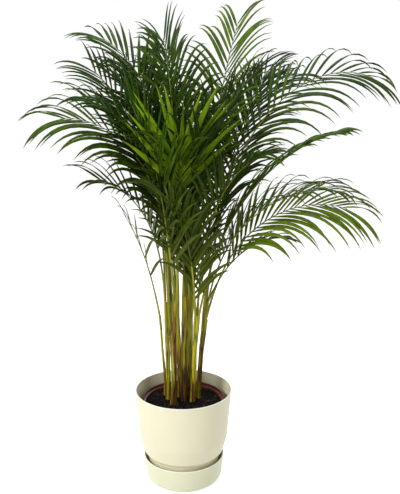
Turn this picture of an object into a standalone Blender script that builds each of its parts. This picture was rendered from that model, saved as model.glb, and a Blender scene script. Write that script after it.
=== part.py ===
"""A potted areca palm: a clump of canes with arching feather fronds, rooted in soil in a thin grow pot, which
stands in a round cover pot on its own saucer. Metres, +Z up. The origin is on the pots' axis at floor level."""

import itertools
import math

import bmesh
import bpy
import numpy as np
from mathutils import Matrix, Vector
from mathutils.bvhtree import BVHTree

UP = Vector((0, 0, 1))
GAP = 0.0003  # clearance wherever one piece rests on or in another

# Pots and soil
WALL = 0.003
RIM_RADIUS = 0.1475
RIM_HEIGHT = 0.285
FOOT_RADIUS = 0.100
COVER_FLOOR = 0.0385  # the cover pot's floor stands clear of the water held in the saucer
FLOOR_THICKNESS = 0.0035
SAUCER_RADIUS = 0.1245
SAUCER_HEIGHT = 0.0755
SAUCER_FLOOR = 0.004
GROW_RADIUS = 0.1225
GROW_HEIGHT = 0.257
GROW_FOOT = 0.085
GROW_WALL = 0.0016
SOIL_TOP = 0.240
DRAIN_HOLES = 6
DRAIN_RADIUS = 0.006
DRAIN_CIRCLE = 0.055
NOTCH_TOP = 0.014  # water passes from the saucer to under the cover pot through notches in its foot
NOTCH_RADIUS = 0.007
TURN_SEGMENTS = 40
ARC_STEPS = 2

# Canes: name, place in the soil, top, radius
CANE_DEPTH = 0.030
CANE_UPRIGHT = 0.010  # the height above the soil at which a cane starts to lean
CANE_SIDES = 8
CANE_TAPER = 0.08
CANE_LEAN = 1.3  # above 1, the cane leans more towards its top
CANE_RINGS = 6
CANES = {
    "a": ((-0.048, 0.018), (-0.052, 0.024, 0.55), 0.0080),
    "b": ((-0.030, -0.022), (-0.020, -0.030, 0.60), 0.0090),
    "c": ((-0.012, 0.032), (-0.022, 0.040, 0.62), 0.0080),
    "d": ((0.001, 0.002), (0.002, -0.002, 0.58), 0.0085),
    "e": ((0.018, 0.024), (0.026, 0.026, 0.64), 0.0085),
    "f": ((0.028, -0.006), (0.042, -0.014, 0.52), 0.0080),
    "g": ((0.044, 0.020), (0.068, 0.014, 0.50), 0.0075),
    "h": ((-0.032, 0.056), (-0.045, 0.070, 0.56), 0.0075),
    "i": ((0.008, 0.062), (0.014, 0.078, 0.60), 0.0080),
    "j": ((0.044, 0.052), (0.070, 0.070, 0.54), 0.0075),
    "k": ((-0.058, 0.040), (-0.074, 0.048, 0.50), 0.0045),
}

# Fronds. Angles in degrees: azimuth is counted from +X towards +Y, rise and fall are the midrib's slope at its
# base and tip, bend says how late it arches over, sweep turns it sideways and roll tips its blade.
RIB_HALF_WIDTH = 0.0033
RIB_TIP_HALF_WIDTH = 0.0008
LEAFLET_PAIRS = 8
LEAFLET_WIDTH = 0.013
LEAFLET_THICKNESS = 0.0012
FROND_DEFAULTS = dict(
    sweep=0, roll=0, bare=0.36, pairs=LEAFLET_PAIRS, width=LEAFLET_WIDTH, vee=30, droop=0.85, spread=(48, 24)
)
FRONDS = [
    dict(cane="a", azimuth=190, rise=90, fall=-4, length=0.70, bend=2.2, leaf=0.28, roll=40, vee=15,
         droop=1.1),
    dict(cane="a", azimuth=166, rise=89, fall=42, length=0.74, bend=1.9, leaf=0.24, roll=40),
    dict(cane="a", azimuth=212, rise=86, fall=15, length=0.46, bend=1.9, leaf=0.20, roll=30, pairs=6),
    dict(cane="b", azimuth=196, rise=84, fall=20, length=0.62, bend=2.6, leaf=0.24, roll=30, bare=0.2),
    dict(cane="b", azimuth=215, rise=84, fall=60, length=0.56, bend=2.0, leaf=0.27, roll=20, bare=0.12,
         droop=0.6, spread=(40, 22)),
    dict(cane="d", azimuth=252, rise=88, fall=45, length=0.44, bend=2.4, leaf=0.25, bare=0.12,
         spread=(38, 22)),
    dict(cane="c", azimuth=98, rise=88, fall=66, length=0.73, bend=2.2, leaf=0.22, sweep=20, roll=60),
    dict(cane="c", azimuth=200, rise=88, fall=48, length=0.60, bend=2.0, leaf=0.27, bare=0.14,
         spread=(40, 22)),
    dict(cane="b", azimuth=284, rise=88, fall=66, length=0.42, bend=2.2, leaf=0.28, bare=0.7, vee=12,
         droop=0.25, spread=(46, 4), width=0.018, pairs=5),
    dict(cane="d", azimuth=300, rise=87, fall=55, length=0.48, bend=2.2, leaf=0.25, bare=0.14,
         spread=(40, 22)),
    dict(cane="e", azimuth=60, rise=76, fall=60, length=0.82, bend=1.6, leaf=0.24),
    dict(cane="e", azimuth=8, rise=70, fall=-22, length=0.88, bend=2.8, leaf=0.26, roll=-40, vee=15,
         droop=1.15),
    dict(cane="e", azimuth=330, rise=86, fall=40, length=0.62, bend=2.0, leaf=0.27, bare=0.16,
         spread=(40, 20)),
    dict(cane="f", azimuth=354, rise=79, fall=20, length=0.68, bend=1.5, leaf=0.18, spread=(22, 10)),
    dict(cane="f", azimuth=312, rise=84, fall=30, length=0.52, bend=2.0, leaf=0.25, bare=0.12,
         spread=(38, 20)),
    dict(cane="f", azimuth=232, rise=86, fall=40, length=0.40, bend=2.0, leaf=0.22, bare=0.12,
         spread=(38, 20)),
    dict(cane="g", azimuth=334, rise=82, fall=0, length=0.60, bend=1.4, leaf=0.20, roll=-10, bare=0.3,
         droop=1.0),
    dict(cane="g", azimuth=352, rise=76, fall=-18, length=0.60, bend=1.6, leaf=0.27, roll=-35, vee=10,
         droop=1.15),
    dict(cane="h", azimuth=155, rise=90, fall=26, length=0.85, bend=3.0, leaf=0.24, roll=20),
    dict(cane="h", azimuth=130, rise=86, fall=60, length=0.70, bend=2.0, leaf=0.26, roll=20, width=0.016),
    dict(cane="h", azimuth=120, rise=84, fall=5, length=0.76, bend=2.0, leaf=0.25),
    dict(cane="i", azimuth=72, rise=86, fall=68, length=0.72, bend=1.8, leaf=0.27, sweep=70),
    dict(cane="i", azimuth=40, rise=74, fall=50, length=0.74, bend=1.3, leaf=0.25),
    dict(cane="i", azimuth=88, rise=84, fall=-10, length=0.84, bend=1.9, leaf=0.25),
    dict(cane="j", azimuth=35, rise=78, fall=14, length=0.84, bend=3.0, leaf=0.22, roll=-30, droop=1.05),
    dict(cane="j", azimuth=8, rise=66, fall=0, length=0.32, bend=1.6, leaf=0.14, pairs=5),
    dict(cane="j", azimuth=50, rise=78, fall=50, length=0.76, bend=1.7, leaf=0.25, roll=-20),
    dict(cane="k", azimuth=200, rise=80, fall=60, length=0.34, bend=1.5, leaf=0.16, pairs=3),
]
SEAT_CLEARANCE = 0.0005  # half the gap between the petioles that stand side by side on one cane
CLEARANCE = 0.0005  # kept around a leaflet where it passes another frond
ROOT_SPARE = 1.3  # how much wider than the leaflet's root the space is that is kept free round it
ROOT_SHARE = 0.35  # share of a leaflet's lower half that may touch its neighbours
SWINGS = (0, 8, -8, 16, -16, 24, -24, 34, -34)  # degrees a leaflet may turn to pass another
SHORTENINGS = (1.0, 0.8, 0.6, 0.4)
LEAST_ANGLE = 10  # between a leaflet and the midrib that it grows from

# Material: colour, roughness
LOOKS = {
    "cream_plastic": ((0.84, 0.80, 0.60), 0.45),
    "terracotta_plastic": ((0.30, 0.045, 0.03), 0.5),
    "potting_soil": ((0.012, 0.009, 0.007), 0.95),
    "cane_bark": ((0.28, 0.26, 0.03), 0.5),
    "leaf": ((0.035, 0.10, 0.015), 0.4),
}


def start_clean():
    """Empty the scene and make the two collections, one for the parts and one for what cuts them."""
    for thing in list(bpy.data.objects):
        bpy.data.objects.remove(thing)
    parts = bpy.data.collections.new("potted_palm")
    cutters = bpy.data.collections.new("cutters")
    for collection in (parts, cutters):
        bpy.context.scene.collection.children.link(collection)
    return parts, cutters


PARTS, CUTTERS = start_clean()


def material(name):
    """The named Principled material, made on first use."""
    if name in bpy.data.materials:
        return bpy.data.materials[name]
    colour, roughness = LOOKS[name]
    made = bpy.data.materials.new(name)
    made.use_nodes = True
    shader = made.node_tree.nodes["Principled BSDF"]
    shader.inputs["Base Color"].default_value = (*colour, 1)
    shader.inputs["Roughness"].default_value = roughness
    return made


def place(name, mesh, look):
    """Put a finished mesh among the parts."""
    piece = bpy.data.objects.new(name, mesh)
    PARTS.objects.link(piece)
    mesh.materials.append(material(look))
    return piece


def rounded(corners):
    """An outline of (radius, height, bend) corners, with each corner that has a bend turned into a short arc."""
    outline = []
    for index, (radius, height, bend) in enumerate(corners):
        here = Vector((radius, height))
        if not bend:
            outline.append(here)
            continue
        before = (Vector(corners[index - 1][:2]) - here).normalized()
        after = (Vector(corners[index + 1][:2]) - here).normalized()
        half_angle = before.angle(after) / 2
        centre = here + (before + after).normalized() * bend / math.sin(half_angle)
        start = here + before * bend / math.tan(half_angle)
        end = here + after * bend / math.tan(half_angle)
        for step in range(ARC_STEPS + 1):
            point = start.lerp(end, step / ARC_STEPS)
            outline.append(centre + (point - centre).normalized() * bend)
    return outline


def turned(name, corners, look):
    """A solid of revolution whose outline starts and ends on the axis and runs down its outer side."""
    outline = rounded(corners)
    mesh = bpy.data.meshes.new(name)
    mesh.from_pydata([(r, 0, z) for r, z in outline], [(i, i + 1) for i in range(len(outline) - 1)], [])
    piece = place(name, mesh, look)
    screw = piece.modifiers.new("turn", "SCREW")
    screw.steps = screw.render_steps = TURN_SEGMENTS
    screw.use_merge_vertices = True
    screw.merge_threshold = 1e-5
    screw.use_smooth_shade = True
    return piece


def cut_away(piece, pegs):
    """Cut upright round holes from a piece; each peg is (x, y, bottom, top, radius, sides)."""
    mesh = bpy.data.meshes.new(piece.name + "_cutter")
    bm = bmesh.new()
    for x, y, bottom, top, radius, sides in pegs:
        middle = Matrix.Translation((x, y, (bottom + top) / 2))
        bmesh.ops.create_cone(
            bm, cap_ends=True, segments=sides, radius1=radius, radius2=radius, depth=top - bottom, matrix=middle
        )
    bm.to_mesh(mesh)
    bm.free()
    cutter = bpy.data.objects.new(mesh.name, mesh)
    CUTTERS.objects.link(cutter)
    cutter.hide_render = True
    cutter.display_type = "WIRE"
    cut = piece.modifiers.new("cut", "BOOLEAN")
    cut.operation = "DIFFERENCE"
    cut.solver = "EXACT"
    cut.object = cutter


def ring_of_pegs(circle, bottom, top, radius):
    """Pegs for a ring of equal holes round the axis."""
    turn = 2 * math.pi / DRAIN_HOLES
    return [
        (circle * math.cos(turn * k), circle * math.sin(turn * k), bottom, top, radius, 8)
        for k in range(DRAIN_HOLES)
    ]


def drains(floor):
    """Pegs for the drainage holes through a pot floor whose top is at this height."""
    return ring_of_pegs(DRAIN_CIRCLE, floor - 0.02, floor + 0.02, DRAIN_RADIUS)


def cover_pot():
    """The cream cover pot: a wide cup that rounds in to a narrow hollow foot standing in the saucer."""
    pot = turned("cover_pot", [
        (0, COVER_FLOOR, 0),
        (0.1022, COVER_FLOOR, 0.004),
        (0.1097, 0.0850, 0),
        (0.1205, 0.0965, 0.010),
        (0.1320, 0.1400, 0.080),
        (RIM_RADIUS - WALL, RIM_HEIGHT, 0),
        (RIM_RADIUS, RIM_HEIGHT, 0),
        (0.1350, 0.1400, 0.080),
        (0.1235, 0.0950, 0.012),
        (0.1125, 0.0830, 0),
        (FOOT_RADIUS, SAUCER_FLOOR + GAP, 0),
        (FOOT_RADIUS - WALL, SAUCER_FLOOR + GAP, 0),
        (0.1018, COVER_FLOOR - FLOOR_THICKNESS, 0),
        (0, COVER_FLOOR - FLOOR_THICKNESS, 0),
    ], "cream_plastic")
    notches = ring_of_pegs(FOOT_RADIUS - WALL / 2, -0.01, NOTCH_TOP, NOTCH_RADIUS)
    cut_away(pot, drains(COVER_FLOOR) + notches)


def saucer():
    """The deep round saucer that the cover pot's foot stands in."""
    turned("saucer", [
        (0, SAUCER_FLOOR, 0),
        (0.1135, SAUCER_FLOOR, 0.012),
        (SAUCER_RADIUS - WALL, SAUCER_HEIGHT, 0),
        (SAUCER_RADIUS, SAUCER_HEIGHT, 0),
        (0.1160, 0, 0.018),
        (0, 0, 0),
    ], "cream_plastic")


def grow_pot():
    """The thin grow pot with a turned-out rim band, standing on the cover pot's floor."""
    base = COVER_FLOOR + GAP
    wall_top = GROW_RADIUS - 0.004
    pot = turned("grow_pot", [
        (0, base + GROW_WALL, 0),
        (GROW_FOOT - GROW_WALL, base + GROW_WALL, 0),
        (wall_top - GROW_WALL, GROW_HEIGHT - 0.010, 0),
        (GROW_RADIUS - GROW_WALL, GROW_HEIGHT - 0.008, 0),
        (GROW_RADIUS - GROW_WALL, GROW_HEIGHT, 0),
        (GROW_RADIUS, GROW_HEIGHT, 0),
        (GROW_RADIUS, GROW_HEIGHT - 0.009, 0),
        (wall_top, GROW_HEIGHT - 0.011, 0),
        (GROW_FOOT, base, 0),
        (0, base, 0),
    ], "terracotta_plastic")
    cut_away(pot, drains(base + GROW_WALL))


def soil():
    """The root ball and soil that fill the grow pot, with a pocket for each cane."""
    base = COVER_FLOOR + GROW_WALL + 2 * GAP
    inner_foot = GROW_FOOT - GROW_WALL
    slope = (GROW_RADIUS - 0.004 - GROW_FOOT) / (GROW_HEIGHT - 0.010 - COVER_FLOOR)
    inner_top = inner_foot + slope * (SOIL_TOP - COVER_FLOOR) - 0.0012
    ball = turned("soil", [
        (0, SOIL_TOP, 0),
        (inner_top, SOIL_TOP - 0.002, 0),
        (inner_foot - 0.004, base, 0),
        (0, base, 0),
    ], "potting_soil")
    cut_away(ball, [
        (x, y, SOIL_TOP - CANE_DEPTH - GAP, SOIL_TOP + 0.01, (radius + GAP) / math.cos(math.pi / 12), 12)
        for (x, y), top, radius in CANES.values()
    ])


def cane_line(name):
    """The cane's middle line: upright in the soil, then one smooth lean to its top."""
    (x, y), top, radius = CANES[name]
    foot = Vector((x, y, SOIL_TOP - CANE_DEPTH))
    knee = Vector((x, y, SOIL_TOP + CANE_UPRIGHT))
    reach = Vector(top) - knee
    line = [foot, knee]
    for ring in range(1, CANE_RINGS + 1):
        share = ring / CANE_RINGS
        lean = share ** CANE_LEAN
        line.append(knee + Vector((reach.x * lean, reach.y * lean, reach.z * share)))
    return line


def cane_end(name):
    """The direction in which the cane's end faces."""
    line = cane_line(name)
    return (line[-1] - line[-2]).normalized()


def cane(name):
    """A round cane that tapers a little upwards."""
    radius = CANES[name][2]
    line = cane_line(name)
    curve = bpy.data.curves.new("cane_" + name, "CURVE")
    curve.dimensions = "3D"
    curve.bevel_depth = radius
    curve.bevel_resolution = CANE_SIDES // 4
    curve.use_fill_caps = True
    spline = curve.splines.new("POLY")
    spline.points.add(len(line) - 1)
    for index, (point, spot) in enumerate(zip(spline.points, line)):
        point.co = (*spot, 1)
        point.radius = 1 - CANE_TAPER * index / len(line)
    guide = bpy.data.objects.new("guide", curve)
    PARTS.objects.link(guide)
    shape = bpy.data.meshes.new_from_object(guide.evaluated_get(bpy.context.evaluated_depsgraph_get()))
    bpy.data.objects.remove(guide)
    shape.name = "cane_" + name
    bm = bmesh.new()
    bm.from_mesh(shape)
    bmesh.ops.remove_doubles(bm, verts=bm.verts, dist=1e-5)
    bm.to_mesh(shape)
    bm.free()
    shape.shade_smooth()
    shape.set_sharp_from_angle(angle=math.radians(50))
    return place("cane_" + name, shape, "cane_bark")


def heading(azimuth, slope):
    """The unit vector at this azimuth and slope, both in degrees."""
    a, s = math.radians(azimuth), math.radians(slope)
    return Vector((math.cos(a) * math.cos(s), math.sin(a) * math.cos(s), math.sin(s)))


def seats():
    """Where each frond's petiole stands on its cane's end. The petioles are spread evenly round the end, in the
    order and turn that keep their midribs furthest apart."""
    places = {}
    for name, (place_in_soil, top, radius) in CANES.items():
        mine = [number for number, frond in enumerate(FRONDS) if frond["cane"] == name]
        axis = cane_end(name)
        corner = math.sqrt(2) * RIB_HALF_WIDTH + SEAT_CLEARANCE
        ring = corner / math.sin(math.pi / len(mine)) if len(mine) > 1 else 0
        best = None
        for order in itertools.permutations(mine):
            for turn in range(0, 360, 15):
                spots = {}
                for place_number, number in enumerate(order):
                    offset = heading(turn + 360 * place_number / len(mine), 0) * ring
                    spots[number] = Vector(top) + axis * GAP + offset - axis * offset.dot(axis)
                apart = nearest_pass(spots)
                if best is None or apart > best[0] + 1e-6:
                    best = (apart, spots)
        places.update(best[1])
    return places


def nearest_pass(spots):
    """The least distance between any two midribs that start from these spots."""
    lines = [np.array(Midrib(FRONDS[number], spot, axis=UP).points) for number, spot in spots.items()]
    least = 1.0
    for one, other in itertools.combinations(lines, 2):
        apart = np.linalg.norm(one[:, None] - other[None], axis=2).min()
        least = min(least, apart)
    return least


class Midrib:
    """The middle line of a frond: a chain of short steps whose slope eases from rise to fall."""

    STEPS = 48

    def __init__(self, frond, seat, axis):
        self.points = [seat.copy()]
        self.frond = frond = {**FROND_DEFAULTS, **frond}
        self.axis = axis
        for step in range(self.STEPS):
            share = (step + 0.5) / self.STEPS
            slope = frond["rise"] + (frond["fall"] - frond["rise"]) * share ** frond["bend"]
            azimuth = frond["azimuth"] + frond["sweep"] * share
            self.points.append(self.points[-1] + heading(azimuth, slope) * frond["length"] / self.STEPS)

    def at(self, share):
        """Place and direction at a share of the length from the base."""
        along = min(max(share, 0), 0.99999) * self.STEPS
        step = int(along)
        stride = self.points[step + 1] - self.points[step]
        return self.points[step] + stride * (along - step), stride.normalized()

    def side(self, share):
        """The level direction to the right of the midrib, as seen looking along it."""
        azimuth = math.radians(self.frond["azimuth"] + self.frond["sweep"] * share)
        return Vector((math.sin(azimuth), -math.cos(azimuth), 0))


def leaflet_shares(frond):
    """The share of the midrib's length at which each pair of leaflets grows."""
    return [frond["bare"] + (1 - frond["bare"]) * (k + 0.5) / frond["pairs"] for k in range(frond["pairs"])]


def leaflet_sections(frond, rib, share, hand, swing, shorten, extra=0.0):
    """The widest section (four corners) and the tip of a leaflet that leaves the rib at this share."""
    root, along = rib.at(share)
    right = rib.side(share)
    over = right.cross(along)
    roll = math.radians(frond["roll"])
    right, over = right * math.cos(roll) + over * math.sin(roll), over * math.cos(roll) - right * math.sin(roll)
    place_on_blade = (share - frond["bare"]) / (1 - frond["bare"])
    wide, narrow = frond["spread"]
    angle = math.radians(max(wide + (narrow - wide) * place_on_blade ** 1.2 + swing, LEAST_ANGLE))
    vee = math.radians(frond["vee"] * (1 - 0.5 * place_on_blade))
    outward = right * hand * math.cos(vee) + over * math.sin(vee)
    direction = along * math.cos(angle) + outward * math.sin(angle)
    length = frond["leaf"] * (0.69 + place_on_blade - 1.18 * place_on_blade ** 2) * shorten
    sag = frond["droop"] * (1.2 - 0.35 * abs(direction.z))
    middle = root + (direction - UP * sag * 0.12).normalized() * length * 0.45
    tip = middle + (direction - UP * sag * 0.60).normalized() * length * 0.55
    blade = (along - direction * along.dot(direction)).normalized() * (frond["width"] + extra) / 2
    thick = direction.cross(blade).normalized() * hand * (LEAFLET_THICKNESS + extra) / 2
    return [middle - blade - thick, middle + blade - thick, middle + blade + thick, middle - blade + thick], tip


def rib_mesh(rib, frond):
    """A square tapering bar along the midrib, with a short stretch for each pair of leaflets to grow from.
    Returns the bmesh and, for each pair, the two side faces."""
    shares = [0.0]
    if frond["bare"] > 0.2:
        shares += [frond["bare"] * 0.35, frond["bare"] * 0.7]
    grip = 0.005 / frond["length"]
    growing = []
    for share in leaflet_shares(frond):
        growing.append(len(shares))
        shares += [share - grip, share + grip]
    bm = bmesh.new()
    rings = []
    for share in shares:
        centre, along = rib.at(share)
        if not share:
            along = rib.axis  # the foot of the petiole sits flat on the cane's end
        right = rib.side(share)
        right = (right - along * right.dot(along)).normalized()
        over = right.cross(along)
        half = RIB_HALF_WIDTH + (RIB_TIP_HALF_WIDTH - RIB_HALF_WIDTH) * share
        corners = ((-1, -1), (1, -1), (1, 1), (-1, 1))
        rings.append([bm.verts.new(centre + right * half * a + over * half * b) for a, b in corners])
    bm.faces.new(rings[0])
    sides = []
    for low, high in zip(rings, rings[1:]):
        sides.append([
            bm.faces.new((low[k], high[k], high[(k + 1) % 4], low[(k + 1) % 4])) for k in range(4)
        ])
    bm.faces.new(reversed(rings[-1]))
    bmesh.ops.recalc_face_normals(bm, faces=bm.faces)
    return bm, [(sides[g][3], sides[g][1]) for g in growing]


def tree(bm):
    """A search tree of the surface as it is now."""
    bm.verts.index_update()
    return BVHTree.FromPolygons([v.co.copy() for v in bm.verts], [[v.index for v in f.verts] for f in bm.faces])


def sliver(base, section, tip):
    """The search tree of a leaflet alone: the hull from its root square to its widest section, and its point."""
    bm = bmesh.new()
    corners = [bm.verts.new(corner) for corner in (*base, *section)]
    bmesh.ops.convex_hull(bm, input=corners)
    point = bm.verts.new(tip)
    widest = corners[4:]
    for k in range(4):
        bm.faces.new((widest[k], widest[(k + 1) % 4], point))
    found = tree(bm)
    bm.free()
    return found


def grow_leaflet(bm, face, section, tip):
    """Draw a leaflet out of one side face of the rib: out to its widest section, then to a point."""
    root = face.calc_center_median()
    face = draw_out(bm, face, match(face, section))
    inside = (root + face.calc_center_median()) / 2
    for edge in face.edges:
        for side in edge.link_faces:
            if side is not face:
                split_outwards(side, inside)
    face = draw_out(bm, face, [tip] * 4)
    bmesh.ops.pointmerge(bm, verts=face.verts[:], merge_co=tip)


def draw_out(bm, face, corners):
    """Extrude one face to these corners."""
    face = bmesh.ops.extrude_discrete_faces(bm, faces=[face])["faces"][0]
    for vert, corner in zip(face.verts, corners):
        vert.co = corner
    return face


def split_outwards(side, inside):
    """Split a twisted four-sided face along the diagonal that lies further from a point inside the leaflet."""
    a, b, c, d = side.verts
    outward = side.calc_center_median() - inside
    if (a.co + c.co - b.co - d.co).dot(outward) > 0:
        bmesh.utils.face_split(side, a, c)
    else:
        bmesh.utils.face_split(side, b, d)


def match(face, corners):
    """The corners in the order that turns least from the face's own and faces the same way, away from the rib."""
    start = face.calc_center_median()
    middle = sum(corners, Vector()) / 4
    if (corners[1] - corners[0]).cross(corners[2] - corners[1]).dot(middle - start) < 0:
        corners = corners[::-1]
    best = None
    for shift in range(4):
        order = corners[shift:] + corners[:shift]
        cost = sum(
            ((v.co - start).normalized() - (c - middle).normalized()).length for v, c in zip(face.verts, order)
        )
        if best is None or cost < best[0] - 1e-9:
            best = (cost, order)
    return best[1]


def fronds():
    """All the fronds. Every midrib is placed first, and then each leaflet turns or shortens to pass what is there."""
    at_seat = seats()
    ribs = [Midrib(frond, at_seat[n], cane_end(frond["cane"])) for n, frond in enumerate(FRONDS)]
    grown = [rib_mesh(rib, rib.frond) for rib in ribs]
    standing = [tree_of(piece) for piece in PARTS.objects if piece.name.startswith("cane_")]
    rib_trees = [tree(bm) for bm, growing in grown]
    for number, (rib, (bm, growing)) in enumerate(zip(ribs, grown)):
        own = [rib_trees[number]]
        others = standing + [t for n, t in enumerate(rib_trees) if n != number]
        for share, faces in zip(leaflet_shares(rib.frond), growing):
            for hand, face in zip((-1, 1), faces):
                found = free_way(rib, share, hand, face, others, own)
                if found:
                    section, tip, space = found
                    grow_leaflet(bm, face, section, tip)
                    own.append(space)
        standing += own[1:]
        finish_frond("frond_%02d" % (number + 1), bm)


def free_way(rib, share, hand, face, others, own):
    """The first swing and length at which a leaflet from this face of the rib clears everything, or nothing.
    Near its root a leaflet may touch its neighbours on the same rib."""
    frond = rib.frond
    middle = face.calc_center_median()
    base = [middle + (vert.co - middle) * ROOT_SPARE for vert in face.verts]
    for shorten in SHORTENINGS:
        for swing in SWINGS:
            wide, tip = leaflet_sections(frond, rib, share, hand, swing, shorten, 2 * CLEARANCE)
            wide = match(face, wide)
            whole = sliver(base, wide, tip)
            if any(whole.overlap(other) for other in others):
                continue
            away = [low.lerp(high, ROOT_SHARE) for low, high in zip(base, wide)]
            if any(sliver(away, wide, tip).overlap(mine) for mine in own):
                continue
            section, tip = leaflet_sections(frond, rib, share, hand, swing, shorten)
            return section, tip, whole
    return None


def tree_of(piece):
    """A search tree of a finished piece."""
    mesh = piece.data
    return BVHTree.FromPolygons([v.co.copy() for v in mesh.vertices], [list(p.vertices) for p in mesh.polygons])


def finish_frond(name, bm):
    """Split the frond's faces into triangles and put it among the parts."""
    mesh = bpy.data.meshes.new(name)
    bmesh.ops.triangulate(bm, faces=bm.faces[:])
    bmesh.ops.recalc_face_normals(bm, faces=bm.faces[:])
    if bm.calc_volume(signed=True) < 0:
        bmesh.ops.reverse_faces(bm, faces=bm.faces[:])
    bm.to_mesh(mesh)
    bm.free()
    place(name, mesh, "leaf")


cover_pot()
saucer()
grow_pot()
soil()
for cane_name in CANES:
    cane(cane_name)
fronds()
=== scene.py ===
"""The looks of the potted palm: fine fronds, canes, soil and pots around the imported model, with the camera,
the floor and the light. Metres, +Z up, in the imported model's own frame."""

import math
import random

import bmesh
import bpy
from mathutils import Matrix, Vector, noise


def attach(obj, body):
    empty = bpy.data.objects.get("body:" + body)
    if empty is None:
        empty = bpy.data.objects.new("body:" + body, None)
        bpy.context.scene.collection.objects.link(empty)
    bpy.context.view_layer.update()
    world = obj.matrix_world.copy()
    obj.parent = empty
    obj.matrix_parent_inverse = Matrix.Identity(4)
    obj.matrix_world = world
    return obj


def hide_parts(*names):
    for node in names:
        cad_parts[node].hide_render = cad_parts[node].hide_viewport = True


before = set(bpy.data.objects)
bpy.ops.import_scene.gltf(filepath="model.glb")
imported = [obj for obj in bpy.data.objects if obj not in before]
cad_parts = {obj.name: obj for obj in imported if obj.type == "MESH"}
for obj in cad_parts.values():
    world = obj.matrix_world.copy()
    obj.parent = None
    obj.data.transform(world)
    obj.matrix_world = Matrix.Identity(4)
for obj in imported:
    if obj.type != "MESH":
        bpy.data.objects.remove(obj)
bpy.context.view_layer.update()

UP = Vector((0, 0, 1))
BODY = "root"

# Camera
CAMERA_PLACE = (0.0505, -1.70, 1.04)
CAMERA_PITCH = 10.45  # degrees below the horizon
FOCAL_PIXELS = 587
IMAGE_HEIGHT = 494
SENSOR = 36

# Pots and soil, as in the construction
WALL = 0.003
RIM_RADIUS = 0.1475
RIM_HEIGHT = 0.285
FOOT_RADIUS = 0.100
COVER_FLOOR = 0.0385
FLOOR_THICKNESS = 0.0035
SAUCER_RADIUS = 0.1245
SAUCER_HEIGHT = 0.0755
SAUCER_FLOOR = 0.004
GROW_RADIUS = 0.1225
GROW_HEIGHT = 0.257
GROW_FOOT = 0.085
GROW_WALL = 0.0016
SOIL_TOP = 0.240
SOIL_EDGE = 0.1150
SOIL_RISE = 0.001  # of the crumbly surface over the construction's flat one
CHIPS = 420
TURN_SEGMENTS = 144
ARC_STEPS = 8
GAP = 0.0003

# Canes: place in the soil, top, radius in the construction
CANES = {
    "a": ((-0.048, 0.018), (-0.052, 0.024, 0.55), 0.0080),
    "b": ((-0.030, -0.022), (-0.020, -0.030, 0.60), 0.0090),
    "c": ((-0.012, 0.032), (-0.022, 0.040, 0.62), 0.0080),
    "d": ((0.001, 0.002), (0.002, -0.002, 0.58), 0.0085),
    "e": ((0.018, 0.024), (0.026, 0.026, 0.64), 0.0085),
    "f": ((0.028, -0.006), (0.042, -0.014, 0.52), 0.0080),
    "g": ((0.044, 0.020), (0.068, 0.014, 0.50), 0.0075),
    "h": ((-0.032, 0.056), (-0.045, 0.070, 0.56), 0.0075),
    "i": ((0.008, 0.062), (0.014, 0.078, 0.60), 0.0080),
    "j": ((0.044, 0.052), (0.070, 0.070, 0.54), 0.0075),
    "k": ((-0.058, 0.040), (-0.074, 0.048, 0.50), 0.0045),
}
CANE_SHARE = 0.882  # the radius shown, as a share of the construction's
CANE_LEAN = 1.3  # above 1, a cane leans more towards its top
CANE_STEPS = 64
CANE_BURIED_STEPS = 4

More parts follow.
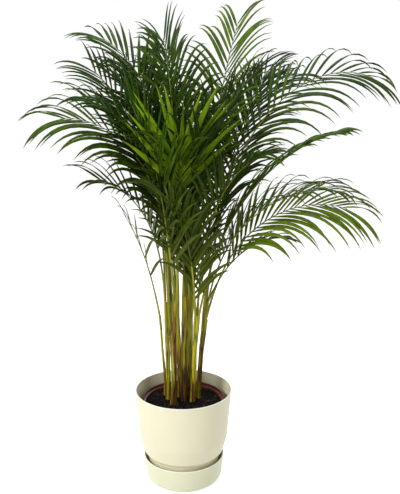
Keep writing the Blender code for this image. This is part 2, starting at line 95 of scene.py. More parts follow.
# Fronds, as in the construction. Angles in degrees: azimuth is counted from +X towards +Y, rise and fall are
# the midrib's slope at its base and tip, bend says how late it arches over, sweep turns it sideways and roll
# tips its blade. bare is the share of the midrib below the first leaflet, and spread the leaflets' angle to
# the midrib at its two ends. tone is the leaf's colour: 0 old and dark, 1 young and bright.
FROND_DEFAULTS = dict(
    sweep=0, roll=0, bare=0.36, pairs=20, width=0.0125, vee=30, droop=0.85, spread=(48, 24), tone=0.3
)
FRONDS = [
    dict(cane="a", azimuth=190, rise=90, fall=-4, length=0.70, bend=2.2, leaf=0.28, roll=40, vee=15,
         droop=1.1, tone=0.4),
    dict(cane="a", azimuth=166, rise=89, fall=42, length=0.74, bend=1.9, leaf=0.24, roll=40, width=0.0105,
         tone=0.2),
    dict(cane="a", azimuth=212, rise=86, fall=15, length=0.46, bend=1.9, leaf=0.20, roll=30, pairs=12,
         tone=0.3),
    dict(cane="b", azimuth=196, rise=84, fall=20, length=0.62, bend=2.6, leaf=0.24, roll=30, bare=0.2,
         tone=0.25),
    dict(cane="b", azimuth=215, rise=84, fall=60, length=0.56, bend=2.0, leaf=0.27, roll=20, bare=0.12,
         droop=0.6, spread=(40, 22), tone=0.3),
    dict(cane="d", azimuth=252, rise=88, fall=45, length=0.44, bend=2.4, leaf=0.25, bare=0.12,
         spread=(38, 22), tone=0.35),
    dict(cane="c", azimuth=98, rise=88, fall=66, length=0.73, bend=2.2, leaf=0.22, sweep=20, roll=60,
         tone=0.3),
    dict(cane="c", azimuth=200, rise=88, fall=48, length=0.60, bend=2.0, leaf=0.27, bare=0.14,
         spread=(40, 22), width=0.0145, tone=0.2),
    dict(cane="b", azimuth=284, rise=88, fall=66, length=0.42, bend=2.2, leaf=0.28, bare=0.7, vee=12,
         droop=0.25, spread=(46, 4), width=0.0175, pairs=9, tone=0.85),
    dict(cane="d", azimuth=300, rise=87, fall=55, length=0.48, bend=2.2, leaf=0.25, bare=0.14,
         spread=(40, 22), tone=0.2),
    dict(cane="e", azimuth=60, rise=76, fall=60, length=0.82, bend=1.6, leaf=0.24, tone=0.5),
    dict(cane="e", azimuth=8, rise=70, fall=-22, length=0.88, bend=2.8, leaf=0.26, roll=-40, vee=15,
         droop=1.15, width=0.0105, tone=0.3),
    dict(cane="e", azimuth=330, rise=86, fall=40, length=0.62, bend=2.0, leaf=0.27, bare=0.16,
         spread=(40, 20), width=0.0095, tone=0.2),
    dict(cane="f", azimuth=354, rise=79, fall=20, length=0.68, bend=1.5, leaf=0.18, spread=(22, 10),
         tone=0.4),
    dict(cane="f", azimuth=312, rise=84, fall=30, length=0.52, bend=2.0, leaf=0.25, bare=0.12,
         spread=(38, 20), tone=0.25),
    dict(cane="f", azimuth=232, rise=86, fall=40, length=0.40, bend=2.0, leaf=0.22, bare=0.12,
         spread=(38, 20), tone=0.3),
    dict(cane="g", azimuth=334, rise=82, fall=0, length=0.60, bend=1.4, leaf=0.20, roll=-10, bare=0.3,
         droop=1.0, width=0.0095, tone=0.3),
    dict(cane="g", azimuth=352, rise=76, fall=-18, length=0.60, bend=1.6, leaf=0.27, roll=-35, vee=10,
         droop=1.15, width=0.0115, tone=0.7),
    dict(cane="h", azimuth=155, rise=90, fall=26, length=0.85, bend=3.0, leaf=0.24, roll=20, tone=0.3),
    dict(cane="h", azimuth=130, rise=86, fall=60, length=0.70, bend=2.0, leaf=0.26, roll=20, width=0.017,
         tone=0.15),
    dict(cane="h", azimuth=120, rise=84, fall=5, length=0.76, bend=2.0, leaf=0.25, tone=0.2),
    dict(cane="i", azimuth=72, rise=86, fall=68, length=0.72, bend=1.8, leaf=0.27, sweep=70, tone=0.35),
    dict(cane="i", azimuth=40, rise=74, fall=50, length=0.74, bend=1.3, leaf=0.25, width=0.0105, tone=0.2),
    dict(cane="i", azimuth=88, rise=84, fall=-10, length=0.84, bend=1.9, leaf=0.25, tone=0.25),
    dict(cane="j", azimuth=35, rise=78, fall=14, length=0.84, bend=3.0, leaf=0.22, roll=-30, droop=1.05,
         width=0.0095, tone=0.25),
    dict(cane="j", azimuth=8, rise=66, fall=0, length=0.32, bend=1.6, leaf=0.14, pairs=8, tone=0.15),
    dict(cane="j", azimuth=50, rise=78, fall=50, length=0.76, bend=1.7, leaf=0.25, roll=-20, width=0.01,
         tone=0.2),
    dict(cane="k", azimuth=200, rise=80, fall=60, length=0.34, bend=1.5, leaf=0.16, width=0.01, pairs=4,
         tone=0.35),
]
RIB_STEPS = 48
LEAFLET_STEPS = 9
LEAFLET_OUTLINE = (0.30, 0.72, 0.94, 1.0, 0.98, 0.90, 0.76, 0.56, 0.32, 0.03)  # width along a leaflet
LEAF_THICKNESS = 0.0005
FOLD = 0.28  # how far a leaflet's edges hang below its middle fold, as a share of its half width
PETIOLE_RADIUS = 0.0046
RIB_TIP_RADIUS = 0.0010
SHEATH = ((0.34, 0.75, 0.0030), (0.20, 0.90, 0.0042), (0.08, 1.0, 0.0048))  # share below the top, out, radius

# Light
SURROUND = 0.44  # strength of the white surround where it only lights things
FLOOR_LIFT = 0.62  # how brightly the floor itself shows
FLOOR_DROP = 0.0005


# ---------------------------------------------------------------- materials

class Look:
    """A Principled material under construction, with short calls for the nodes it is wired from."""

    def __init__(self, name, roughness=0.5):
        self.material = bpy.data.materials.new(name)
        self.material.use_nodes = True
        self.nodes = self.material.node_tree.nodes
        self.links = self.material.node_tree.links
        self.shader = self.nodes["Principled BSDF"]
        self.shader.inputs["Roughness"].default_value = roughness

    def add(self, kind, settings=None, **inputs):
        made = self.nodes.new(kind)
        for key, value in (settings or {}).items():
            setattr(made, key, value)
        for key, value in inputs.items():
            self.feed(made.inputs[key.replace("_", " ")], value)
        return made

    def feed(self, socket, value):
        if isinstance(value, bpy.types.NodeSocket):
            self.links.new(value, socket)
        elif isinstance(value, tuple) and len(value) == 3 and len(socket.default_value) == 4:
            socket.default_value = (*value, 1)
        else:
            socket.default_value = value

    def place(self, stretch=(1, 1, 1)):
        """Object coordinates, stretched along the axes."""
        spot = self.add("ShaderNodeTexCoord").outputs["Object"]
        return self.add("ShaderNodeMapping", Vector=spot, Scale=stretch).outputs[0]

    def noise(self, scale, detail=4.0, stretch=(1, 1, 1), rough=0.5):
        return self.add(
            "ShaderNodeTexNoise", Vector=self.place(stretch), Scale=scale, Detail=detail, Roughness=rough
        ).outputs["Fac"]

    def spread(self, value, low, high, to_low=0.0, to_high=1.0):
        """A value rescaled from one range to another, kept inside it."""
        node = self.add("ShaderNodeMapRange", {"clamp": True}, Value=value)
        for key, number in (("From Min", low), ("From Max", high), ("To Min", to_low), ("To Max", to_high)):
            node.inputs[key].default_value = number
        return node.outputs[0]

    def math(self, operation, a, b=0.0):
        node = self.nodes.new("ShaderNodeMath")
        node.operation = operation
        self.feed(node.inputs[0], a)
        self.feed(node.inputs[1], b)
        return node.outputs[0]

    def mix(self, share, a, b, blend="MIX"):
        """Two colours mixed by a share."""
        node = self.nodes.new("ShaderNodeMix")
        node.data_type = "RGBA"
        node.blend_type = blend
        self.feed(node.inputs[0], share)
        self.feed(node.inputs[6], a)
        self.feed(node.inputs[7], b)
        return node.outputs[2]

    def bump(self, height, distance, strength=1.0):
        node = self.add("ShaderNodeBump", Height=height, Distance=distance, Strength=strength)
        self.links.new(node.outputs[0], self.shader.inputs["Normal"])

    def colour(self, value):
        self.feed(self.shader.inputs["Base Color"], value)
        return self.material


def moulded_plastic(name, colour, shade, roughness, rim=None, rim_highlight_colour=None):
    """Matt moulded plastic: a fine grain in the surface, a faint cloudiness in the colour. Above the height
    rim the
    lip gets a painted highlight: a lighter colour in place of the light its edge catches."""
    look = Look(name, roughness)
    cloud = look.spread(look.noise(14), 0.3, 0.7)
    grain = look.noise(900, detail=2)
    gloss = look.spread(look.noise(60), 0.3, 0.7, roughness - 0.05, roughness + 0.06)
    look.feed(look.shader.inputs["Roughness"], gloss)
    look.bump(grain, 0.00015, 0.35)
    body = look.mix(cloud, colour, shade)
    # Painted highlight: above the height rim the lip is coloured lighter, standing in for the light on its
    # edge.
    if rim:
        height = look.add("ShaderNodeSeparateXYZ", Vector=look.place()).outputs[2]
        body = look.mix(look.spread(height, rim - 0.0004, rim + 0.0004), body, rim_highlight_colour)
    return look.colour(body)


def soil_look():
    look = Look("soil_look", 0.95)
    look.shader.inputs["Specular IOR Level"].default_value = 0.12
    crumbs = look.noise(240, detail=6)
    fibres = look.noise(90, detail=3, stretch=(1, 6, 1))
    dark = look.mix(look.spread(crumbs, 0.4, 0.68), (0.0010, 0.0008, 0.0006), (0.010, 0.007, 0.005))
    look.bump(crumbs, 0.002, 0.9)
    return look.colour(look.mix(look.spread(fibres, 0.68, 0.76, 0, 0.5), dark, (0.11, 0.065, 0.03)))


def chip_look():
    look = Look("bark_chip_look", 0.9)
    look.shader.inputs["Specular IOR Level"].default_value = 0.20
    grain = look.noise(300, detail=3, stretch=(1, 1, 0.2))
    look.bump(grain, 0.0006, 0.6)
    crumbs = look.spread(look.noise(70), 0.42, 0.70)
    return look.colour(look.mix(crumbs, (0.003, 0.002, 0.0015), (0.15, 0.095, 0.06)))


def leaf_look():
    """Leaf: dark to bright green by the leaflet's tone, streaked along its veins, paler at the fold."""
    look = Look("leaf_look", 0.4)
    look.shader.inputs["Specular IOR Level"].default_value = 0.10
    seen = look.add("ShaderNodeVertexColor", {"layer_name": "leaf"}).outputs["Color"]
    parts = look.add("ShaderNodeSeparateColor", Color=seen)
    tone, along, chance = parts.outputs[0], parts.outputs[1], parts.outputs[2]
    mottle = look.spread(look.noise(35, detail=3), 0.3, 0.7, -0.12, 0.12)
    tone = look.math("ADD", tone, mottle)
    ramp = look.add("ShaderNodeValToRGB", Fac=tone)
    stops = ramp.color_ramp.elements
    stops[0].position, stops[0].color = 0.0, (0.004, 0.013, 0.001, 1)
    stops[1].position, stops[1].color = 1.0, (0.24, 0.40, 0.004, 1)
    for position, colour in ((0.30, (0.019, 0.055, 0.002, 1)), (0.60, (0.090, 0.170, 0.003, 1))):
        stop = stops.new(position)
        stop.color = colour
    across = look.add("ShaderNodeSeparateXYZ", Vector=look.add("ShaderNodeUVMap").outputs[0]).outputs[0]
    from_fold = look.math("ABSOLUTE", look.math("SUBTRACT", across, 0.5))
    fold = look.spread(from_fold, 0.0, 0.09, 0.45, 0.0)
    height = look.add("ShaderNodeSeparateXYZ", Vector=look.place()).outputs[2]
    warm = look.mix(look.spread(height, 0.65, 1.05, 0.55, 0.0), ramp.outputs[0], (0.080, 0.088, 0.003))
    green = look.mix(fold, warm, (0.15, 0.22, 0.015))
    dry = look.math("MULTIPLY", look.spread(along, 0.90, 0.99), look.spread(chance, 0.5, 0.8))
    veins = look.math("SINE", look.math("MULTIPLY", across, 75.0))
    look.bump(veins, 0.0002, 0.35)
    look.feed(look.shader.inputs["Roughness"], look.spread(look.noise(50), 0.3, 0.7, 0.34, 0.50))
    return look.colour(look.mix(dry, green, (0.16, 0.10, 0.03)))


def stalk_look():
    """Petiole and midrib: yellow-green, smooth, with faint streaks along it."""
    look = Look("stalk_look", 0.42)
    look.shader.inputs["Specular IOR Level"].default_value = 0.20
    streak = look.spread(look.noise(120, detail=3, stretch=(1, 1, 0.05)), 0.35, 0.65)
    height = look.add("ShaderNodeSeparateXYZ", Vector=look.place()).outputs[2]
    ripe = look.spread(height, 0.55, 1.05)
    low = look.mix(streak, (0.13, 0.15, 0.006), (0.36, 0.34, 0.02))
    high = look.mix(streak, (0.07, 0.12, 0.008), (0.17, 0.23, 0.02))
    look.bump(streak, 0.0002, 0.3)
    return look.colour(look.mix(ripe, low, high))


def cane_look():
    """Cane: yellow-green with streaks, scarred brown in patches, most of all near the soil."""
    look = Look("cane_look", 0.45)
    look.shader.inputs["Specular IOR Level"].default_value = 0.20
    streak = look.spread(look.noise(230, detail=5, stretch=(1, 1, 0.05)), 0.38, 0.62)
    height = look.add("ShaderNodeSeparateXYZ", Vector=look.place()).outputs[2]
    low = look.spread(height, SOIL_TOP, SOIL_TOP + 0.26, 0.13, -0.03)
    blotch = look.math("ADD", look.noise(60, detail=5, stretch=(1, 1, 0.12)), low)
    brown = look.spread(blotch, 0.52, 0.60)
    green = look.mix(streak, (0.075, 0.090, 0.002), (0.50, 0.42, 0.012))
    bark = look.mix(streak, (0.012, 0.005, 0.002), (0.22, 0.10, 0.012))
    look.bump(look.math("ADD", streak, brown), 0.0005, 0.5)
    look.feed(look.shader.inputs["Roughness"], look.spread(brown, 0, 1, 0.38, 0.75))
    return look.colour(look.mix(brown, green, bark))


# Each lip gets a painted highlight: the last two values are the height where it starts and its lighter
# colour.
CREAM = moulded_plastic("cream_plastic", (0.81, 0.775, 0.555), (0.785, 0.75, 0.53), 0.42,
                        RIM_HEIGHT - 0.0018, (0.97, 0.96, 0.88))
SAUCER_CREAM = moulded_plastic("saucer_plastic", (0.79, 0.79, 0.565), (0.765, 0.765, 0.54), 0.45,
                               SAUCER_HEIGHT - 0.0018, (0.97, 0.97, 0.88))
TERRACOTTA = moulded_plastic("terracotta_plastic", (0.13, 0.020, 0.014), (0.09, 0.013, 0.010), 0.5)
SOIL = soil_look()
CHIP = chip_look()
LEAF = leaf_look()
STALK = stalk_look()
CANE = cane_look()


# ---------------------------------------------------------------- pieces

def add_piece(name, mesh, looks, replaced):
    """Put a mesh in the scene, on the body, in place of the construction's own solid."""
    piece = bpy.data.objects.new(name, mesh)
    bpy.context.scene.collection.objects.link(piece)
    for look in looks:
        mesh.materials.append(look)
    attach(piece, BODY)
    if replaced:
        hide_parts(replaced)
    return piece


def mesh_of(name, bm, turn_out=True):
    """The finished mesh of a bmesh, with its faces turned outwards where that is asked."""
    if turn_out:
        bmesh.ops.recalc_face_normals(bm, faces=bm.faces)
    mesh = bpy.data.meshes.new(name)
    bm.to_mesh(mesh)
    bm.free()
    return mesh


def rounded(corners):
    """An outline of (radius, height, bend) corners; each corner that has a bend becomes a short arc."""
    outline = []
    for index, (radius, height, bend) in enumerate(corners):
        here = Vector((radius, height))
        if not bend:
            outline.append(here)
            continue
        before = (Vector(corners[index - 1][:2]) - here).normalized()
        after = (Vector(corners[index + 1][:2]) - here).normalized()
        half_angle = before.angle(after) / 2
        centre = here + (before + after).normalized() * bend / math.sin(half_angle)
        start = here + before * bend / math.tan(half_angle)
        end = here + after * bend / math.tan(half_angle)
        for step in range(ARC_STEPS + 1):
            point = start.lerp(end, step / ARC_STEPS)
            outline.append(centre + (point - centre).normalized() * bend)
    return outline


def turned_mesh(name, corners):
    """A closed solid of revolution, smooth but for its sharp corners."""
    outline = rounded(corners)
    bm = bmesh.new()
    rings = []
    for radius, height in outline:
        if radius < 1e-6:
            rings.append([bm.verts.new((0, 0, height))])
            continue
        turn = [2 * math.pi * k / TURN_SEGMENTS for k in range(TURN_SEGMENTS)]
        rings.append([bm.verts.new((radius * math.cos(a), radius * math.sin(a), height)) for a in turn])
    for one, other in zip(rings, rings[1:]):
        for k in range(TURN_SEGMENTS):
            n = (k + 1) % TURN_SEGMENTS
            corners_here = [one[k % len(one)], one[n % len(one)]]
            corners_here += [other[n % len(other)], other[k % len(other)]]
            bm.faces.new(list(dict.fromkeys(corners_here)))
    mesh = mesh_of(name, bm)
    mesh.shade_smooth()
    mesh.set_sharp_from_angle(angle=math.radians(40))
    return mesh


def cover_pot():
    mesh = turned_mesh("round_cover_pot", [
        (0, COVER_FLOOR, 0),
        (0.1022, COVER_FLOOR, 0.004),
        (0.1097, 0.0850, 0.003),
        (0.1205, 0.0965, 0.010),
        (0.1320, 0.1400, 0.080),
        (RIM_RADIUS - WALL, RIM_HEIGHT, 0.0012),
        (RIM_RADIUS, RIM_HEIGHT, 0.0012),
        (0.1350, 0.1400, 0.080),
        (0.1235, 0.0950, 0.012),
        (0.1125, 0.0830, 0.003),
        (FOOT_RADIUS, SAUCER_FLOOR + GAP, 0.001),
        (FOOT_RADIUS - WALL, SAUCER_FLOOR + GAP, 0.001),
        (0.1018, COVER_FLOOR - FLOOR_THICKNESS, 0.002),
        (0, COVER_FLOOR - FLOOR_THICKNESS, 0),
    ])
    add_piece("round_cover_pot", mesh, [CREAM], "cover_pot")


def saucer():
    mesh = turned_mesh("deep_saucer", [
        (0, SAUCER_FLOOR, 0),
        (0.1135, SAUCER_FLOOR, 0.012),
        (SAUCER_RADIUS - WALL, SAUCER_HEIGHT, 0.0012),
        (SAUCER_RADIUS, SAUCER_HEIGHT, 0.0012),
        (0.1160, 0, 0.018),
        (0, 0, 0),
    ])
    add_piece("deep_saucer", mesh, [SAUCER_CREAM], "saucer")


def grow_pot():
    base = COVER_FLOOR + GAP
    wall_top = GROW_RADIUS - 0.004
    mesh = turned_mesh("red_grow_pot", [
        (0, base + GROW_WALL, 0),
        (GROW_FOOT - GROW_WALL, base + GROW_WALL, 0.002),
        (wall_top - GROW_WALL, GROW_HEIGHT - 0.010, 0.001),
        (GROW_RADIUS - GROW_WALL, GROW_HEIGHT - 0.008, 0.001),
        (GROW_RADIUS - GROW_WALL, GROW_HEIGHT, 0.0006),
        (GROW_RADIUS, GROW_HEIGHT, 0.0006),
        (GROW_RADIUS, GROW_HEIGHT - 0.009, 0.0006),
        (wall_top, GROW_HEIGHT - 0.011, 0.001),
        (GROW_FOOT, base, 0.003),
        (0, base, 0),
    ])
    add_piece("red_grow_pot", mesh, [TERRACOTTA], "grow_pot")


def soil():
    """A crumbly surface over the root ball, lightly heaped at the canes."""
    rings, spokes = 46, 120
    base = COVER_FLOOR + GROW_WALL + 2 * GAP
    bm = bmesh.new()
    centre = bm.verts.new((0, 0, SOIL_TOP))
    before = [centre]
    loops = []
    for ring in range(1, rings + 1):
        radius = SOIL_EDGE * ring / rings
        loop = []
        for spoke in range(spokes):
            a = 2 * math.pi * spoke / spokes
            spot = Vector((radius * math.cos(a), radius * math.sin(a), 0))
            rough = noise.fractal(spot * 60, 0.8, 2.1, 4) * 0.0050 + noise.noise(spot * 14) * 0.003
            heap = 0.005 * math.exp(-(radius / 0.06) ** 2)
            loop.append(bm.verts.new((spot.x, spot.y, SOIL_TOP + SOIL_RISE + heap + rough)))
        loops.append(loop)
    narrow = (GROW_FOOT - 0.006) / SOIL_EDGE
    under = [bm.verts.new((v.co.x * narrow, v.co.y * narrow, base)) for v in loops[-1]]
    loops.append(under)
    for k in range(spokes):
        bm.faces.new((centre, loops[0][k], loops[0][(k + 1) % spokes]))
    for one, other in zip(loops, loops[1:]):
        for k in range(spokes):
            n = (k + 1) % spokes
            bm.faces.new((one[k], other[k], other[n], one[n]))
    bm.faces.new(under)
    mesh = mesh_of("potting_soil", bm)
    mesh.shade_smooth()
    add_piece("potting_soil", mesh, [SOIL], "soil")


def soil_chips():
    """Loose bark chips and fibres lying on the soil."""
    chance = random.Random(7)
    bm = bmesh.new()
    for number in range(CHIPS):
        radius = 0.108 * math.sqrt(chance.random())
        around = chance.uniform(0, 2 * math.pi)
        long = chance.uniform(0.004, 0.020)
        wide = min(chance.uniform(0.0007, 0.0022), long / 3)
        place = Matrix.Translation((radius * math.cos(around), radius * math.sin(around),
                                    SOIL_TOP + chance.uniform(0.002, 0.0075)))
        turn = Matrix.Rotation(chance.uniform(0, math.pi), 4, "Z")
        turn = turn @ Matrix.Rotation(chance.uniform(-0.5, 0.5), 4, "Y")
        size = Matrix.Diagonal((long, wide, wide * 0.6, 1))
        made = bmesh.ops.create_icosphere(bm, subdivisions=1, radius=0.5, matrix=place @ turn @ size)
        for vert in made["verts"]:
            vert.co += Vector([chance.uniform(-0.0004, 0.0004) for axis in range(3)])
    add_piece("bark_chips", mesh_of("bark_chips", bm, turn_out=False), [CHIP], None)


# ---------------------------------------------------------------- plant

def heading(azimuth, slope):
    """The unit vector at this azimuth and slope, both in degrees."""
    a, s = math.radians(azimuth), math.radians(slope)
    return Vector((math.cos(a) * math.cos(s), math.sin(a) * math.cos(s), math.sin(s)))


def cane_point(name, share):
    """A point of the cane's middle line, from the soil (0) to its top (1)."""
    (x, y), top, radius = CANES[name]
    foot = Vector((x, y, SOIL_TOP))
    reach = Vector(top) - foot
    lean = max(share, 0) ** CANE_LEAN
    return foot + Vector((reach.x * lean, reach.y * lean, reach.z * share))


def tube(bm, line, radii, sides, flat=1.0, side=None):
    """A closed round tube through these points. side gives the level direction across it, or nothing."""
    rings = []
    for index, (point, radius) in enumerate(zip(line, radii)):
        ahead = line[min(index + 1, len(line) - 1)] - line[max(index - 1, 0)]
        ahead.normalize()
        across = side[index] if side else Vector((1, 0, 0))
        across = (across - ahead * across.dot(ahead)).normalized()
        over = across.cross(ahead)
        ring = []
        for k in range(sides):
            a = 2 * math.pi * k / sides
            out = across * radius * math.cos(a) + over * radius * flat * math.sin(a)
            ring.append(bm.verts.new(point + out))
        rings.append(ring)
    faces = [bm.faces.new(rings[0]), bm.faces.new(list(reversed(rings[-1])))]
    for one, other in zip(rings, rings[1:]):
        for k in range(sides):
            n = (k + 1) % sides
            faces.append(bm.faces.new((one[k], other[k], other[n], one[n])))
    for face in faces:
        face.smooth = True


def cane(name):
    """A cane with ring scars where old leaves fell, a swollen foot and a slight wander."""
    chance = random.Random("cane " + name)
    radius = CANES[name][2] * CANE_SHARE
    scars = [chance.uniform(0.10, 0.16)]
    while scars[-1] < 0.9:
        scars.append(scars[-1] + chance.uniform(0.13, 0.22))
    line, radii = [], []
    for step in range(-CANE_BURIED_STEPS, CANE_STEPS + 1):
        share = step / CANE_STEPS
        point = cane_point(name, share)
        wander = 0.0008 * math.sin(share * 9 + scars[0] * 40)
        line.append(point + Vector((wander, -wander, 0)))
        swell = 1.10 - 0.22 * share + 0.25 * math.exp(-((share - 0.01) / 0.05) ** 2)
        scar = sum(math.exp(-((share - s) / 0.006) ** 2) for s in scars)
        node = sum(math.exp(-((share - s + 0.02) / 0.02) ** 2) for s in scars)
        radii.append(radius * (swell + 0.05 * scar + 0.06 * node))
    bm = bmesh.new()
    tube(bm, line, radii, sides=18)
    mesh = mesh_of("slender_cane_" + name, bm)
    add_piece(mesh.name, mesh, [CANE], "cane_" + name)


class Midrib:
    """The middle line of a frond: a chain of short steps whose slope eases from rise to fall."""

    def __init__(self, frond, seat):
        self.frond = frond
        self.points = [seat.copy()]
        for step in range(RIB_STEPS):
            share = (step + 0.5) / RIB_STEPS
            slope = frond["rise"] + (frond["fall"] - frond["rise"]) * share ** frond["bend"]
            azimuth = frond["azimuth"] + frond["sweep"] * share
            self.points.append(self.points[-1] + heading(azimuth, slope) * frond["length"] / RIB_STEPS)

    def at(self, share):
        """Place and direction at a share of the length from the base."""
        along = min(max(share, 0), 0.99999) * RIB_STEPS
        step = int(along)
        stride = self.points[step + 1] - self.points[step]
        return self.points[step] + stride * (along - step), stride.normalized()

    def side(self, share):
        """The level direction to the right of the midrib, as seen looking along it."""
        azimuth = math.radians(self.frond["azimuth"] + self.frond["sweep"] * share)
        return Vector((math.sin(azimuth), -math.cos(azimuth), 0))


def petiole_seat(node):
    """Where a frond's petiole stands on its cane: the middle of the lowest ring of its solid."""
    corners = [v.co for v in bpy.data.objects[node].data.vertices]
    lowest = min(c.z for c in corners)
    foot = {tuple(round(x, 5) for x in c) for c in corners if c.z < lowest + 0.004}
    return sum((Vector(c) for c in foot), Vector()) / len(foot)


def leaflet_line(rib, share, blade_share, hand, chance):
    """The points of a leaflet's middle fold, its across direction and its length."""
    frond = rib.frond
    root, along = rib.at(share)
    right = rib.side(share)
    over = right.cross(along)
    roll = math.radians(frond["roll"])
    cos, sin = math.cos(roll), math.sin(roll)
    right, over = right * cos + over * sin, over * cos - right * sin
    wide, narrow = frond["spread"]
    angle = math.radians(wide + (narrow - wide) * blade_share ** 1.2 + chance.uniform(-4, 4))
    vee = math.radians(frond["vee"] * (1 - 0.5 * blade_share) + chance.uniform(-7, 7))
    outward = right * hand * math.cos(vee) + over * math.sin(vee)
    direction = (along * math.cos(angle) + outward * math.sin(angle)).normalized()
    length = frond["leaf"] * (0.69 + blade_share - 1.18 * blade_share ** 2) * chance.uniform(0.92, 1.04)
    droop = frond["droop"] * (1.2 - 0.35 * abs(direction.z)) * chance.uniform(0.85, 1.15)
    points = [root + outward * 0.001]
    for step in range(LEAFLET_STEPS):
        t = (step + 0.5) / LEAFLET_STEPS
        now = (direction - UP * droop * (0.15 * t + 0.95 * t ** 2.2)).normalized()
        points.append(points[-1] + now * length / LEAFLET_STEPS)
    return points, along


def add_leaflet(bm, points, along, width, tone, chance, layers):
    """A folded strip along these points, as three lines of vertices."""
    colours, uvs = layers
    luck = chance.random()
    tone = min(max(tone + chance.uniform(-0.10, 0.10), 0), 1)
    rows = []
    for index, point in enumerate(points):
        ahead = (points[min(index + 1, LEAFLET_STEPS)] - points[max(index - 1, 0)]).normalized()
        across = (along - ahead * along.dot(ahead)).normalized()
        down = across.cross(ahead)
        if down.z > 0:
            down = -down
        half = width * LEAFLET_OUTLINE[index] / 2
        row = []
        for shift in (-1, 0, 1):
            edge = point + across * half * shift + down * half * FOLD * abs(shift)
            vert = bm.verts.new(edge)
            vert[colours] = (tone, index / LEAFLET_STEPS, luck, 1)
            row.append(vert)
        rows.append(row)
    for index, (one, other) in enumerate(zip(rows, rows[1:])):
        for k in (0, 1):
            face = bm.faces.new((one[k], one[k + 1], other[k + 1], other[k]))
            face.smooth = True
            spots = ((k, index), (k + 1, index), (k + 1, index + 1), (k, index + 1))
            for loop, (u, v) in zip(face.loops, spots):
                loop[uvs].uv = (u / 2, v / LEAFLET_STEPS)


def frond(number, values):
    """One frond: its two rows of leaflets, and its stalk."""
    values = {**FROND_DEFAULTS, **values}
    node = "frond_%02d" % number
    rib = Midrib(values, petiole_seat(node))
    leaflets(number, node, rib)
    stalk(number, node, rib)


def leaflets(number, node, rib):
    """The two rows of leaflets of a frond, in one mesh."""
    values = rib.frond
    chance = random.Random(number)
    bm = bmesh.new()
    layers = (bm.verts.layers.float_color.new("leaf"), bm.loops.layers.uv.new("UVMap"))
    pairs = values["pairs"]
    for pair in range(pairs):
        for hand in (-1, 1):
            blade_share = min(max((pair + 0.5 + hand * 0.2 + chance.uniform(-0.12, 0.12)) / pairs, 0), 1)
            share = values["bare"] + (1 - values["bare"]) * blade_share
            points, along = leaflet_line(rib, share, blade_share, hand, chance)
            width = values["width"] * chance.uniform(0.85, 1.1) * (1 - 0.25 * blade_share)
            add_leaflet(bm, points, along, width, values["tone"], chance, layers)
    mesh = mesh_of("palm_leaflets_%02d" % number, bm, turn_out=False)
    piece = add_piece(mesh.name, mesh, [LEAF], node)
    thick = piece.modifiers.new("thickness", "SOLIDIFY")
    thick.thickness = LEAF_THICKNESS
    thick.offset = 0


def stalk(number, node, rib):
    """The midrib, the petiole and the sheath that runs down the cane, as one tapering stalk."""
    cane_name = rib.frond["cane"]
    outward = rib.points[0] - cane_point(cane_name, 1)
    sheath = [cane_point(cane_name, 1 - back) + outward * out for back, out, radius in SHEATH]
    shares = [k / RIB_STEPS for k in range(RIB_STEPS + 1)]
    radii = [radius for back, out, radius in SHEATH]
    radii += [PETIOLE_RADIUS + (RIB_TIP_RADIUS - PETIOLE_RADIUS) * share ** 0.8 for share in shares]
    sides = [rib.side(0)] * len(sheath) + [rib.side(share) for share in shares]
    bm = bmesh.new()
    tube(bm, sheath + rib.points, radii, sides=8, flat=0.8, side=sides)
    mesh = mesh_of("palm_stalk_%02d" % number, bm)
    add_piece(mesh.name, mesh, [STALK], node)


# ---------------------------------------------------------------- studio

def camera():
    data = bpy.data.cameras.new("camera")
    data.sensor_width = SENSOR
    data.lens = FOCAL_PIXELS / IMAGE_HEIGHT * SENSOR
    data.clip_end = 50
    made = bpy.data.objects.new("camera", data)
    made.location = CAMERA_PLACE
    made.rotation_euler = (math.radians(90 - CAMERA_PITCH), 0, 0)
    bpy.context.scene.collection.objects.link(made)
    bpy.context.scene.camera = made


def lamp(name, place, aim, size, power):
    data = bpy.data.lights.new(name, "AREA")
    data.shape = "DISK"
    data.size = size
    data.energy = power
    made = bpy.data.objects.new(name, data)
    made.location = place
    made.rotation_euler = (Vector(aim) - Vector(place)).to_track_quat("-Z", "Y").to_euler()
    bpy.context.scene.collection.objects.link(made)


def seen_straight(nodes, links):
    """1 for rays from the camera or by way of a mirror or glass, 0 for the light that falls on things."""
    path = nodes.new("ShaderNodeLightPath")
    total = None
    for ray in ("Is Camera Ray", "Is Glossy Ray", "Is Transmission Ray"):
        if total is None:
            total = path.outputs[ray]
            continue
        most = nodes.new("ShaderNodeMath")
        most.operation = "MAXIMUM"
        links.new(total, most.inputs[0])
        links.new(path.outputs[ray], most.inputs[1])
        total = most.outputs[0]
    return total


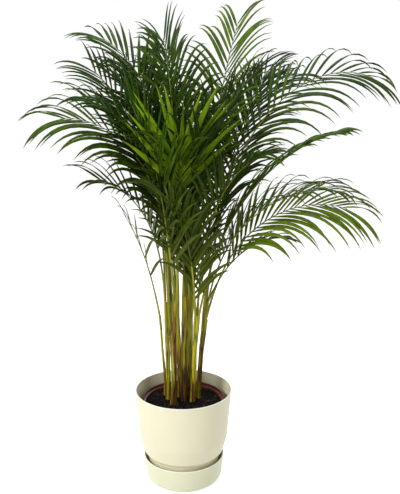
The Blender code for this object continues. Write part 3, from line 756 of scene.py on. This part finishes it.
def studio():
    """A white surround and soft light, strongest from the front left."""
    world = bpy.data.worlds.new("studio")
    world.use_nodes = True
    bpy.context.scene.world = world
    nodes, links = world.node_tree.nodes, world.node_tree.links
    dim = nodes["Background"]
    dim.inputs[0].default_value = (1, 1, 1, 1)
    dim.inputs[1].default_value = SURROUND
    white = nodes.new("ShaderNodeBackground")
    white.inputs[1].default_value = 1.0
    white.inputs[0].default_value = (1, 1, 1, 1)
    either = nodes.new("ShaderNodeMixShader")
    links.new(seen_straight(nodes, links), either.inputs[0])
    links.new(dim.outputs[0], either.inputs[1])
    links.new(white.outputs[0], either.inputs[2])
    links.new(either.outputs[0], nodes["World Output"].inputs[0])
    lamp("key", (-2.3, -2.2, 2.2), (0, 0, 0.6), 1.4, 84)
    lamp("fill", (2.6, -1.8, 1.4), (0, 0, 0.6), 2.0, 10)
    lamp("top", (0.2, 0.6, 3.4), (0, 0, 0.6), 2.0, 30)
    lamp("back", (0.9, 2.9, 1.8), (0, 0, 0.6), 2.2, 30)


def floor():
    bm = bmesh.new()
    bmesh.ops.create_circle(bm, cap_ends=True, segments=96, radius=9)
    mesh = mesh_of("studio_floor", bm, turn_out=False)
    made = bpy.data.objects.new("studio_floor", mesh)
    made.location.z = -FLOOR_DROP
    bpy.context.scene.collection.objects.link(made)
    look = Look("studio_floor", 0.9)
    nodes, links = look.nodes, look.links
    look.colour((0.86, 0.86, 0.86))
    glow = nodes.new("ShaderNodeEmission")
    lift = nodes.new("ShaderNodeMath")
    lift.operation = "MULTIPLY"
    lift.inputs[1].default_value = FLOOR_LIFT
    links.new(seen_straight(nodes, links), lift.inputs[0])
    links.new(lift.outputs[0], glow.inputs[1])
    both = nodes.new("ShaderNodeAddShader")
    links.new(look.shader.outputs[0], both.inputs[0])
    links.new(glow.outputs[0], both.inputs[1])
    links.new(both.outputs[0], nodes["Material Output"].inputs[0])
    mesh.materials.append(look.material)


bpy.context.scene.view_settings.view_transform = "Standard"
camera()
studio()
floor()
cover_pot()
saucer()
grow_pot()
soil()
soil_chips()
for cane_name in CANES:
    cane(cane_name)
for place_in_table, values in enumerate(FRONDS):
    frond(place_in_table + 1, values)
